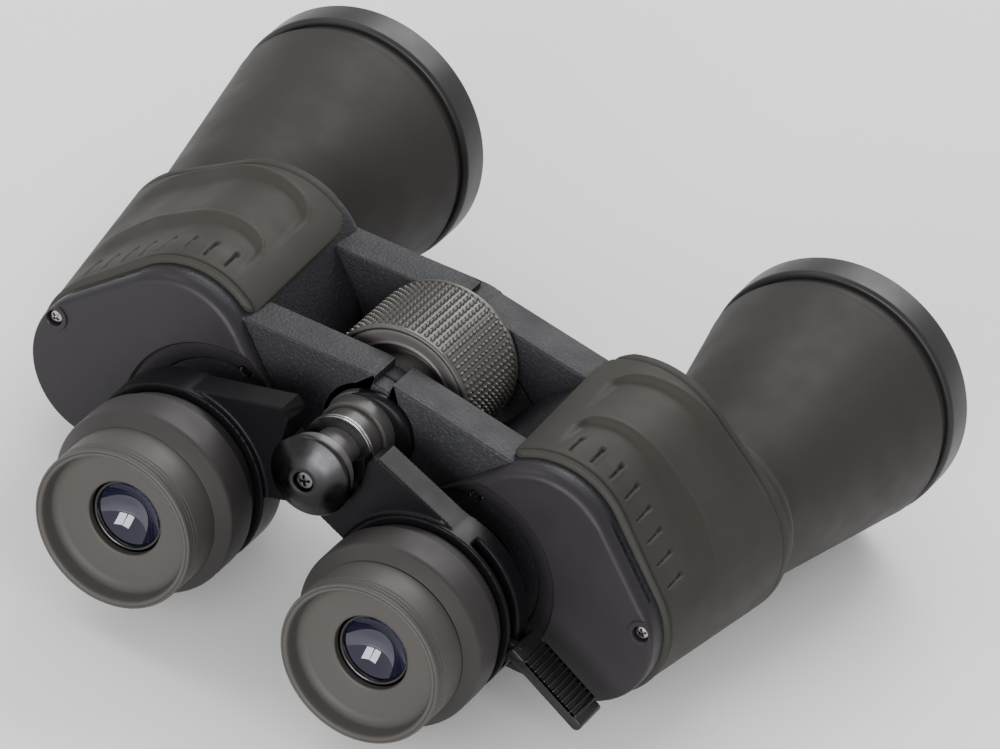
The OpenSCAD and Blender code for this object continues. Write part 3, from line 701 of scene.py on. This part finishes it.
def length_at(ring, length, peak, x, upper):
    """The arc length where the upper or the lower part of an outline reaches x."""
    part = slice(0, peak + 1) if upper else slice(peak, len(ring))
    xs, lengths = ring[part, 0], length[part]
    return np.interp(x, xs, lengths) if upper else np.interp(-x, -xs, lengths)


def track_sample(track, share, inner):
    """At a share of an outline: x, z, the normal's x and z, q, and the length to the nearer inner edge."""
    ring, length, peak, zero = track
    start = length_at(ring, length, peak, inner, True)
    end = length_at(ring, length, peak, inner, False)
    at = start + share * (end - start)

    def point(d):
        return np.array([np.interp(d, length, ring[:, 0]), np.interp(d, length, ring[:, 1])])

    along = point(at + 0.5) - point(at - 0.5)
    return np.array([*point(at), -along[1], along[0], at - zero, min(at - start, end - at)])


def marks(*stretches):
    """Rising values in stretches of (start, end, count), with the last end included."""
    parts = [np.linspace(start, end, count, False) for start, end, count in stretches[:-1]]
    return np.concatenate(parts + [np.linspace(*stretches[-1])])


def armour_grid():
    """The armour's plain outer surface: rows of station, samples round the outline, gaps to the edges."""
    stations, tracks = armour_tracks()
    round_marks = marks((0, 3, 12), (3, 10, 16), (10, 57, 196), (57, 66, 15), (66, ARMOUR_ROUND - 3, 60),
                        (ARMOUR_ROUND - 3, ARMOUR_ROUND, 12))
    reach = 50.4
    along_marks = marks((0, 3.2, 15), (3.2, 12, 24), (12, 45, 56), (45, reach, 22)) / reach
    # the front edge runs forward over the outer side
    front = ARMOUR_FRONT - 2.4 + 2.4 * smooth(round_marks, 22, 52)
    rows = []
    for v in along_marks:
        s = ARMOUR_REAR + v * (front - ARMOUR_REAR)
        rear_gap, front_gap = s - ARMOUR_REAR, front - s
        inner = ARMOUR_INNER
        for corner, gap in ((REAR_CORNER, rear_gap), (FRONT_CORNER, front_gap)):
            near = np.clip(corner - gap, 0, corner)
            inner = inner + corner - np.sqrt(corner ** 2 - near ** 2)
        index = (s - stations[0]) / (stations[1] - stations[0])
        row = []
        for share, x, at in zip(round_marks / ARMOUR_ROUND, inner, index):
            k = min(int(at), len(tracks) - 2)
            w = at - k
            before, after = track_sample(tracks[k], share, x), track_sample(tracks[k + 1], share, x)
            row.append(before * (1 - w) + after * w)
        rows.append((s, np.array(row), rear_gap, front_gap))
    return rows


def add_armour(rows, name, side):
    """The rubber on one half: a surface with its relief, and a plain one under it, joined at the edges."""
    outer, inner = [], []
    for s, row, rear_gap, front_gap in rows:
        point, normal = row[:, :2], row[:, 2:4]
        normal = normal / np.linalg.norm(normal, axis=1)[:, None]
        lift = armour_relief(row[:, 4], s, rear_gap, front_gap, row[:, 5])
        for ring, height in ((outer, lift), (inner, np.full(len(point), -ARMOUR_T))):
            at = point + normal * height[:, None]
            ring.append(np.column_stack([at[:, 0], s, at[:, 1]]))
    shape = len(rows), len(rows[0][1])
    count = shape[0] * shape[1]
    faces = grid_faces(*shape)
    faces += [[i + count for i in face][::-1] for face in faces]
    index = np.arange(count).reshape(shape)
    border = list(index[0]) + list(index[1:, -1]) + list(index[-1, :-1][::-1]) + list(index[1:-1, 0][::-1])
    for a, b in zip(border, border[1:] + border[:1]):
        faces.append([a, a + count, b + count, b])
    shell = np.vstack(outer + inner), faces
    add_piece(f"{name}_rubber_armour", [shell], side, f"{name}_half", LOOKS["armour_rubber"],
              [f"{name}_armour"], sharp=60)


# ---- hinge and focus ----

WHEEL_REAR, WHEEL_FRONT, WHEEL_R, WHEEL_RIBS, WHEEL_PADS, KNURL_DEPTH = 67.4, 93.5, 19.0, 66, 13, 0.95
WHEEL_RIM = 1.7
AXLE_BORE, BOSS_PLAIN_R = 7.85, 8.9


def knurled_grip():
    """Ribs along the wheel, crossed by grooves round it, between two plain rims."""
    # places across one pad, from the groove over the top towards the next groove
    pad = np.array([0.0, 0.1, 0.22, 0.36, 0.5, 0.64, 0.78, 0.9])
    turn = ((np.arange(WHEEL_RIBS)[:, None] + pad) * 2 * math.pi / WHEEL_RIBS).ravel()
    across = np.tile(smooth(np.minimum(pad, 1 - pad), 0.06, 0.42), WHEEL_RIBS)
    start, end = WHEEL_REAR + WHEEL_RIM, WHEEL_FRONT - WHEEL_RIM
    pitch = (end - start) / WHEEL_PADS
    along = (start + (np.arange(WHEEL_PADS)[:, None] + pad) * pitch).ravel()
    lift = np.tile(smooth(np.minimum(pad, 1 - pad), 0.06, 0.40), WHEEL_PADS)
    # radius, and depth from the wheel's end
    rim = [(17.8, 1.2), (17.8, 0.1), (18.05, 0), (18.4, 0.1), (18.6, 0.4), (18.6, 1.0), (18.0, 1.3)]
    radii = [np.full(len(turn), r) for r, _ in rim]
    radii += [WHEEL_R - KNURL_DEPTH + KNURL_DEPTH * across * (0.05 + 0.95 * height) for height in lift]
    radii += [np.full(len(turn), r) for r, _ in reversed(rim)]
    stations = [WHEEL_REAR + depth for _, depth in rim] + list(along)
    stations += [WHEEL_FRONT - depth for _, depth in reversed(rim)]
    return ring_loop([np.column_stack([r * np.cos(turn), np.full(len(turn), s), r * np.sin(turn)])
                      for r, s in zip(radii, stations)])


def boss_foot(seat, reach=10.6, offset=2.3, count=96):
    """A round foot behind the rear boss, set off towards the right half."""
    ray = rays(count)
    inner = BOSS_PLAIN_R - 0.3
    outer = np.maximum(to_circle(ray, np.array([-offset, 0.0]), reach), BOSS_PLAIN_R - 0.1)
    # shares of the way from the inside to the outside, and heights
    profile = [(0, 0), (0, -2.2), (0.45, -2.2), (0.7, -2.0), (0.88, -1.6), (0.97, -1.1), (1, -0.5), (1, 0)]
    return ring_loop([at_station(HINGE + ray * (inner + (outer - inner) * share)[:, None], seat + height)
                      for share, height in profile])


def add_wheel():
    """The focus wheel: a metal core and a knurled rubber grip."""
    hub = [[7.9, 63.9], [10.0, 63.9, 0.4], [10.0, WHEEL_REAR + 4.5, 0.5], [12.8, WHEEL_REAR + 4.0, 0.4],
           [13.2, WHEEL_REAR + 1.4, 0.4], [13.7, WHEEL_REAR + 0.5, 0.2], [14.3, WHEEL_REAR + 0.9, 0.2],
           [16.6, WHEEL_REAR + 0.1, 0.4], [17.35, WHEEL_REAR + 0.2, 0.15], [17.35, WHEEL_REAR + 1.6, 0],
           [18.2, WHEEL_REAR + 1.6, 0], [18.2, WHEEL_FRONT - 1.6, 0], [17.35, WHEEL_FRONT - 1.6, 0],
           [17.35, WHEEL_FRONT, 0.3], [12.0, WHEEL_FRONT, 0.4], [12.0, 94.0, 0.2], [7.9, 94.0]]
    add_piece("wheel_core", [lathe(hub, HINGE, 144)], 1, "focus_wheel", LOOKS["sleeve_paint"],
              ["focus_wheel_hub"])
    add_piece("wheel_grip", [knurled_grip()], 1, "focus_wheel", LOOKS["wheel_rubber"],
              ["focus_wheel_grip"], sharp=30)


def add_spindle():
    """The spindle with its cap and screw, a sleeve and two collars."""
    body = "focus_spindle"
    base = span_of("spindle_cap")[1]
    cap = [[1.7, base - 2.8], [2.5, base - 2.8, 0.1], [2.55, base - 4.6, 0.15], [3.5, base - 4.7, 0.5],
           [6.0, base - 3.9, 3.0], [10.1, base - 1.5, 0.6], [10.25, base - 0.5, 0.3], [9.9, base, 0.2],
           [1.7, base]]
    add_piece("cap", [lathe(cap, HINGE, 128)], 1, body, LOOKS["cap_metal"], ["spindle_cap"])
    add_piece("cap_screw_head", [cross_head(HINGE, base - 4.0, 2.3, 0.4)], 1, body, LOOKS["dark_screw"],
              ["cap_screw"])
    sleeve = [[6.0, base], [8.7, base, 0.2], [9.0, base + 0.4, 0.2], [9.0, base + 3.4, 0.3],
              [6.0, base + 3.4]]
    add_piece("sleeve", [lathe(sleeve, HINGE)], 1, body, LOOKS["sleeve_paint"],
              ["spindle_sleeve"])
    first = span_of("hub_washers")[0]
    collars = [lathe([[6.0, s], [8.75, s, 0.2], [8.75, s + 0.6, 0.2], [6.0, s + 0.6]], HINGE)
               for s in (first, first + 0.9)]
    add_piece("collars", collars, 1, body, LOOKS["steel"], ["hub_washers"])
    threads = [[7.8 - 0.5 * (k % 2), 67.6 + 1.2 * k, 0.1] for k in range(16)]
    spindle = [[5.05, base], [6.0, base], [6.0, 40.6], [7.8, 40.6, 0.4], [7.8, 66.8, 0]] + threads
    spindle += [[5.05, 86.5, 0]]
    add_piece("spindle", [lathe(spindle, HINGE)], 1, body, LOOKS["hinge_paint"],
              ["focus_spindle"])


def add_rear_boss():
    """The bush behind the rear arms, which belongs to the left half, and its foot."""
    rear, front = span_of("rear_hinge_bush")
    flange = HOUSING_REAR - CLEAR
    bush = [[AXLE_BORE, front], [AXLE_BORE, rear], [BOSS_PLAIN_R, rear, 0.35], [9.1, flange - 1.5, 0.1],
            [9.5, flange - 1.4, 0], [9.5, front]]
    add_piece("rear_boss", [lathe(bush, HINGE)], 1, "left_half", LOOKS["hinge_paint"],
              ["rear_hinge_bush"])
    # the foot takes the near-black arm paint so that it stands in for the shade round the bush: painted shade
    add_piece("rear_boss_foot_painted_shade", [boss_foot(flange)], 1, "left_half", LOOKS["arm_paint"])


# ---- eyepieces ----

# a point on the cut across an arm's tip, the voxel size, and the rounds of smoothing
ARM_TIP, ARM_VOXEL, ARM_WEAR = (12.2, 8.7), 0.36, 3
# the eye lens: radius, station of its rim, and depth of its hollow
GLASS_R, GLASS_RIM, GLASS_DEPTH = 7.9, 8.9, 3.8


def worn(node, name):
    """A copy of a CAD node's mesh with its edges worn round, in the row frame."""
    twin = bpy.data.objects.new("twin", frame["nodes"][node].data.copy())
    bpy.context.scene.collection.objects.link(twin)
    grid = twin.modifiers.new("grid", "REMESH")
    grid.mode = "VOXEL"
    grid.voxel_size = ARM_VOXEL * MM
    relax = twin.modifiers.new("relax", "SMOOTH")
    relax.factor = 0.5
    relax.iterations = ARM_WEAR
    done = bpy.data.meshes.new_from_object(twin.evaluated_get(bpy.context.evaluated_depsgraph_get()))
    done.name = name
    bpy.data.objects.remove(twin)
    return done


def add_arm(name, side):
    """An eyepiece arm, with the upper corner of its tip cut off at 45 degrees."""
    mesh = worn(f"{name}_eyepiece_arm", f"{name}_arm")
    work = bmesh.new()
    work.from_mesh(mesh)
    everything = work.verts[:] + work.edges[:] + work.faces[:]
    x, z = ARM_TIP
    cut = bmesh.ops.bisect_plane(work, geom=everything, plane_co=(side * x * MM, 0, HINGE_Z + z * MM),
                                 plane_no=(-side, 0, 1), clear_outer=True)
    rim = [e for e in cut["geom_cut"] if isinstance(e, bmesh.types.BMEdge)]
    bmesh.ops.edgeloop_fill(work, edges=rim)
    bmesh.ops.recalc_face_normals(work, faces=work.faces)
    work.to_mesh(mesh)
    work.free()
    show(f"{name}_arm", mesh, f"{name}_eyepiece", LOOKS["arm_paint"],
         [f"{name}_eyepiece_arm"], sharp=50)


def add_eyepiece(name, side):
    """Rubber eyecup, ring, bezel, eye lens and arm of one eyepiece."""
    body = f"{name}_eyepiece"
    lens_body = "right_eye_cell" if side > 0 else body
    ring_node, ring_body = ("diopter_ring", "diopter_ring") if side > 0 else ("left_eye_ring", body)

    cup = [[18.5, 0.35, 0.2], [18.95, 0.0, 0.2], [19.3, 0.05, 0.15], [19.5, 0.4, 0.12], [19.75, 0.1, 0.15],
           [20.15, 0.3, 0.25], [20.3, 1.0, 0.3], [19.95, 1.5, 0.15], [20.2, 2.0, 0.2], [20.0, 2.6, 0.1],
           [20.22, 3.0, 0.15], [20.08, 3.6, 0.1], [20.25, 4.0, 0.15], [20.3, 11.95, 0.1], [12.6, 12, 0],
           [12.6, 9, 0], [9.35, 8, 0.2], [9.35, 6.2, 0.25], [9.8, 5.95, 0.2], [13.0, 5.6, 0.3],
           [16.6, 5.1, 1.5], [17.9, 4.0, 1.4], [18.3, 1.0, 0.6]]
    add_piece(f"{name}_rubber_eyecup", [lathe(cup, EYE, 160)], side, body, LOOKS["eyecup_rubber"],
              [f"{name}_eyecup"])

    bore, rear = (17.55, 12.3) if side > 0 else (17.5, 12.02)
    ring = [[bore, rear], [20.45, rear, 0.15], [23.25, 14.7, 0.35], [23.45, 15.4, 0.4], [23.45, 23.7, 0.4],
            [23.1, 24.25, 0.2], [22.75, 24.4, 0.1], [22.6, 25.2, 0.2], [21.6, 28.4, 0.3], [bore, 28.4]]
    add_piece(f"{name}_ring", [lathe(ring, EYE, 160)], side, ring_body, LOOKS["ring_rubber"],
              [ring_node])

    bezel = [[7.95, 8.4, 0.15], [8.25, 7.7, 0.15], [8.75, 7.5, 0.25], [9.1, 8.1, 0.2], [9.1, 15.6],
             [11, 16.2], [11, 19.5], [7, 19.5], [7, 14.2], [7.95, 13.8]]
    add_piece(f"{name}_bezel", [lathe(bezel, EYE, 96)], side, lens_body, LOOKS["black_anodised"],
              [f"{name}_eye_bezel"])
    dish = [[r, GLASS_RIM + GLASS_DEPTH * (1 - (r / GLASS_R) ** 2), 0]
            for r in np.linspace(0.001, GLASS_R, 28)]
    glass = lathe(dish + [[GLASS_R, 14.0, 0], [0.001, 14.0, 0]], EYE, 96)
    add_piece(f"{name}_eye_glass", [glass], side, lens_body, LOOKS["coated_glass"],
              [f"{name}_eye_lens"])
    add_arm(name, side)


def add_lever():
    """Zoom ring, and a lever with ribs across its upper face."""
    ribs, rib_pitch, length, width, thick = 12, 1.52, 24.2, 10.0, 2.8
    start = 29.0
    tilt = math.radians(25)
    root = np.array([EYE[0] + 24.4, EYE[1] + 2.8])
    top = [[0.0, -thick + 0.3, 0.3], [0.0, 0.0, 0.8]]
    for i in range(ribs):
        a = 4.0 + i * rib_pitch
        top += [[a, 0.0, 0.12], [a + 0.18, 0.62, 0.16], [a + 0.72, 0.62, 0.16], [a + 0.9, 0.0, 0.12]]
    top += [[length - 0.3, 0.0, 0.9], [length, -thick * 0.6, 0.9], [length - 0.9, -thick, 0.5],
            [2.6, -thick, 0.5]]
    profile = softened(top[::-1], 0.3, 3)
    turned = np.column_stack([root[0] + profile[:, 0] * math.cos(tilt) + profile[:, 1] * math.sin(tilt),
                              root[1] - profile[:, 0] * math.sin(tilt) + profile[:, 1] * math.cos(tilt)])
    if np.sum(turned[:, 0] * np.roll(turned[:, 1], -1) - np.roll(turned[:, 0], -1) * turned[:, 1]) < 0:
        turned = turned[::-1]  # slab() needs it anticlockwise
    pad = slab(turned, start, start + width, 0.3, 4)
    (left, right), (low, high) = EYE[0] + np.array([18.4, 26]), EYE[1] + np.array([-2.2, 2.4])
    neck = slab(softened([[left, low], [right, low], [right, high], [left, high]], 0.3), 30.95, 33.25, 0.2)
    ring = lathe([[17.55, 29.3], [19.2, 29.3], [19.2, 36.5], [17.55, 36.5]], EYE, 96)
    add_piece("zoom_lever_and_ring", [pad, neck, ring], 1, "zoom_lever", LOOKS["black_plastic"],
              ["right_zoom_ring"])


armour_rows = armour_grid()
for name, side in SIDES.items():
    add_objective(name, side)
    add_housing(name, side)
    add_cover(name, side)
    add_armour(armour_rows, name, side)
    add_eyepiece(name, side)
add_wheel()
add_spindle()
add_rear_boss()
add_lever()

# CAD nodes that are shown as they are take a look by their material slot
slots = {part["node"]: part["material_slot"] for part in frame["record"]["subparts"]}
for node, part in frame["nodes"].items():
    if not part.hide_render:
        part.data.materials.clear()
        part.data.materials.append(LOOKS[slots[node]])


# ---- camera and studio ----

VIEW_AZIMUTH = math.radians(18.23)
VIEW_ELEVATION = math.radians(34.66)
VIEW_ROLL = math.radians(17.47)
VIEW_TARGET = Vector((-0.0005, 0.0450, 0.0201))
VIEW_DISTANCE = 2.0357
VIEW_LENS = 304.9


def view_axes():
    """The camera's right, up and backward directions."""
    back = Vector((math.sin(VIEW_AZIMUTH) * math.cos(VIEW_ELEVATION),
                   -math.cos(VIEW_AZIMUTH) * math.cos(VIEW_ELEVATION),
                   math.sin(VIEW_ELEVATION)))
    level = Vector((math.cos(VIEW_AZIMUTH), math.sin(VIEW_AZIMUTH), 0))
    upright = back.cross(level)
    right = level * math.cos(VIEW_ROLL) + upright * math.sin(VIEW_ROLL)
    up = upright * math.cos(VIEW_ROLL) - level * math.sin(VIEW_ROLL)
    return right, up, back


def add_camera():
    right, up, back = view_axes()
    data = bpy.data.cameras.new("camera")
    data.lens = VIEW_LENS
    data.sensor_width = 36
    data.clip_start = 0.01
    data.clip_end = 50
    camera = bpy.data.objects.new("camera", data)
    facing = Matrix((right, up, back)).transposed().to_4x4()
    camera.matrix_world = Matrix.Translation(VIEW_TARGET + back * VIEW_DISTANCE) @ facing
    bpy.context.scene.collection.objects.link(camera)
    bpy.context.scene.camera = camera


LIGHT_AIM = Vector((0, 0.02, 0.03))


def add_softbox(name, place_at, size, power):
    """A rectangular light that faces the object."""
    data = bpy.data.lights.new(name, "AREA")
    data.shape = "RECTANGLE"
    data.size, data.size_y = size
    data.energy = power
    lamp = bpy.data.objects.new(name, data)
    away = Vector(place_at) - LIGHT_AIM
    lamp.matrix_world = Matrix.Translation(place_at) @ away.to_track_quat("Z", "Y").to_matrix().to_4x4()
    bpy.context.scene.collection.objects.link(lamp)


add_camera()
add_softbox("window_left", (-0.16, -1.22, 0.36), (0.40, 0.60), 10)
add_softbox("window_right", (0.29, -1.22, 0.36), (0.40, 0.60), 10)
add_softbox("back", (-0.15, 1.15, 1.05), (1.0, 0.7), 19)
add_softbox("top_left", (-0.95, -0.25, 1.15), (0.7, 0.7), 5)

SKY_STRENGTH = 0.76
world = bpy.data.worlds.new("studio")
world.use_nodes = True
world.node_tree.nodes["Background"].inputs["Color"].default_value = (1, 1, 1, 1)
world.node_tree.nodes["Background"].inputs["Strength"].default_value = SKY_STRENGTH
bpy.context.scene.world = world

FLOOR_HALF, FLOOR_DROP = 6.0, 0.0004
floor_corners = [(FLOOR_HALF * x, FLOOR_HALF * y, 0) for x, y in ((-1, -1), (1, -1), (1, 1), (-1, 1))]
floor_mesh = bpy.data.meshes.new("floor")
floor_mesh.from_pydata(floor_corners, [], [(0, 1, 2, 3)])
floor = bpy.data.objects.new("floor", floor_mesh)
floor.location.z = -FLOOR_DROP
bpy.context.scene.collection.objects.link(floor)
paper = Graph("paper")
floor_mesh.materials.append(paper.finish(Base_Color=(0.93, 0.93, 0.93, 1), Roughness=0.9))
